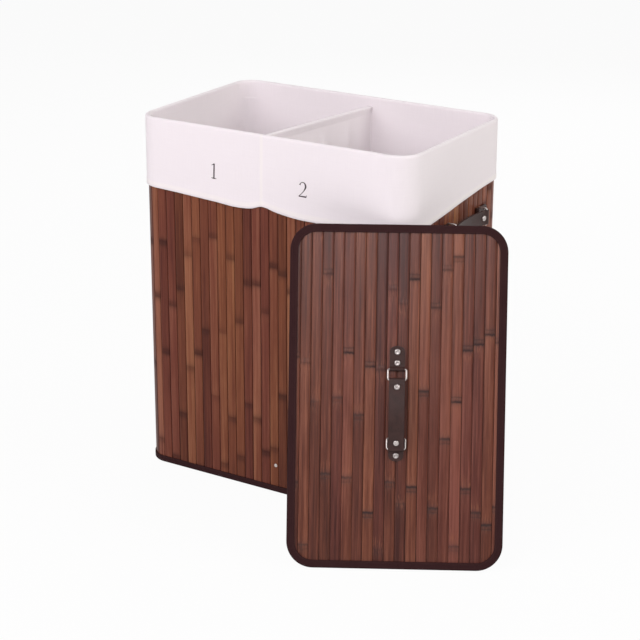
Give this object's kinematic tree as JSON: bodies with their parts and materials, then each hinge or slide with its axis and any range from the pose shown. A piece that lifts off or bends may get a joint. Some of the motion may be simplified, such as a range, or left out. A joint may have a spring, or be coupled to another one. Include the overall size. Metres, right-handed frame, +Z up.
{
  "type": "laundry hamper",
  "caption": "Upright laundry hamper of bamboo slats with a divided cotton liner, strap handles and a loose slatted lid leaning on one corner.",
  "frame": {"origin": "middle of the underside of the hamper's base, on the floor; the lid beside the hamper isn't counted", "axes": "+Z up, +X to the right along the hamper's long front wall, +Y from front to back"},
  "size_m": [0.7515, 0.5455, 0.628],
  "materials": {
    "bamboo": "satin, walnut-stained bamboo",
    "lid_bamboo": "satin, walnut-stained bamboo",
    "tape": "matt woven tape",
    "cotton": "plain cotton cloth",
    "backing": "matt cloth",
    "board": "hardboard",
    "bar_wood": "plain wood",
    "leather": "smooth, dark brown",
    "nickel": "bright nickel plate",
    "steel_wire": "plain steel wire"
  },
  "bodies": {
    "hamper": {"slat_wall": "bamboo", "wall_backing": "backing", "top_tape": "tape", "bottom_tape": "tape", "top_wire_frame": "steel_wire", "bottom_wire_frame": "steel_wire", "base_board": "board", "base_cross_bar": "bar_wood", "front_bar_rivet": "nickel", "back_bar_rivet": "nickel", "right_rear_tab": "leather", "right_rear_tab_rivet_1": "nickel", "right_rear_tab_rivet_2": "nickel", "right_front_tab": "leather", "right_front_tab_rivet_1": "nickel", "right_front_tab_rivet_2": "nickel", "left_rear_tab": "leather", "left_rear_tab_rivet_1": "nickel", "left_rear_tab_rivet_2": "nickel", "left_front_tab": "leather", "left_front_tab_rivet_1": "nickel", "left_front_tab_rivet_2": "nickel"},
    "liner": {"liner_cuff": "cotton", "left_bag": "cotton", "right_bag": "cotton", "divider_hem": "cotton"},
    "lid": {"lid_slats": "lid_bamboo", "lid_board": "board", "lid_lining": "backing", "lid_tape": "tape", "lid_upper_tab": "leather", "lid_upper_tab_rivet_1": "nickel", "lid_upper_tab_rivet_2": "nickel", "lid_lower_tab": "leather", "lid_lower_tab_rivet_1": "nickel", "lid_lower_tab_rivet_2": "nickel"},
    "lid_upper_ring": {"lid_upper_ring": "nickel"},
    "lid_strap": {"lid_strap": "leather", "lid_upper_strap_rivet": "nickel", "lid_lower_strap_rivet": "nickel"},
    "lid_lower_ring": {"lid_lower_ring": "nickel"},
    "right_rear_ring": {"right_rear_ring": "nickel"},
    "right_strap": {"right_strap": "leather", "right_rear_strap_rivet": "nickel", "right_front_strap_rivet": "nickel"},
    "right_front_ring": {"right_front_ring": "nickel"},
    "left_rear_ring": {"left_rear_ring": "nickel"},
    "left_strap": {"left_strap": "leather", "left_rear_strap_rivet": "nickel", "left_front_strap_rivet": "nickel"},
    "left_front_ring": {"left_front_ring": "nickel"}
  },
  "joints": [
    {"name": "liner_lift", "type": "slide", "parent": "hamper", "child": "liner", "axis": [0, 0, 1], "range_m": [0, 0.63]},
    {"name": "lid_lift", "type": "slide", "parent": "hamper", "child": "lid", "axis": [0, 0, 1], "range_m": [0, 0.64]},
    {"name": "lid_handle_swing", "type": "hinge", "parent": "lid", "child": "lid_upper_ring", "pos_m": [0.28036, -0.22652, 0.30512], "axis": [-0.8712, -0.4909, 0], "range_deg": [0, 139]},
    {"name": "lid_strap_pivot", "type": "hinge", "parent": "lid_upper_ring", "child": "lid_strap", "pos_m": [0.28559, -0.2358, 0.29123], "axis": [-0.8712, -0.4909, 0], "range_deg": [-139, 0]},
    {"name": "lid_lower_ring_swing", "type": "hinge", "parent": "lid", "child": "lid_lower_ring", "pos_m": [0.29609, -0.25445, 0.20094], "axis": [-0.8712, -0.4909, 0], "range_deg": [0, 139]},
    {"name": "right_handle_swing", "type": "hinge", "parent": "hamper", "child": "right_rear_ring", "pos_m": [0.2637, 0.0685, 0.478], "axis": [0, 0, 1], "range_deg": [-62, 62]},
    {"name": "right_strap_pivot", "type": "hinge", "parent": "right_rear_ring", "child": "right_strap", "pos_m": [0.2812, 0.0685, 0.478], "axis": [0, 0, 1], "range_deg": [-62, 62]},
    {"name": "right_front_ring_swing", "type": "hinge", "parent": "hamper", "child": "right_front_ring", "pos_m": [0.2637, -0.0405, 0.478], "axis": [0, 0, 1], "range_deg": [-62, 62]},
    {"name": "left_handle_swing", "type": "hinge", "parent": "hamper", "child": "left_rear_ring", "pos_m": [-0.2637, 0.0685, 0.478], "axis": [0, 0, -1], "range_deg": [-62, 62]},
    {"name": "left_strap_pivot", "type": "hinge", "parent": "left_rear_ring", "child": "left_strap", "pos_m": [-0.2812, 0.0685, 0.478], "axis": [0, 0, -1], "range_deg": [-62, 62]},
    {"name": "left_front_ring_swing", "type": "hinge", "parent": "hamper", "child": "left_front_ring", "pos_m": [-0.2637, -0.0405, 0.478], "axis": [0, 0, -1], "range_deg": [-62, 62]}
  ],
  "couplings": [
    {"joint": "lid_strap_pivot", "follows": "lid_handle_swing", "ratio": -1},
    {"joint": "lid_lower_ring_swing", "follows": "lid_handle_swing", "ratio": 1},
    {"joint": "right_strap_pivot", "follows": "right_handle_swing", "ratio": -1},
    {"joint": "right_front_ring_swing", "follows": "right_handle_swing", "ratio": 1},
    {"joint": "left_strap_pivot", "follows": "left_handle_swing", "ratio": -1},
    {"joint": "left_front_ring_swing", "follows": "left_handle_swing", "ratio": 1}
  ]
}
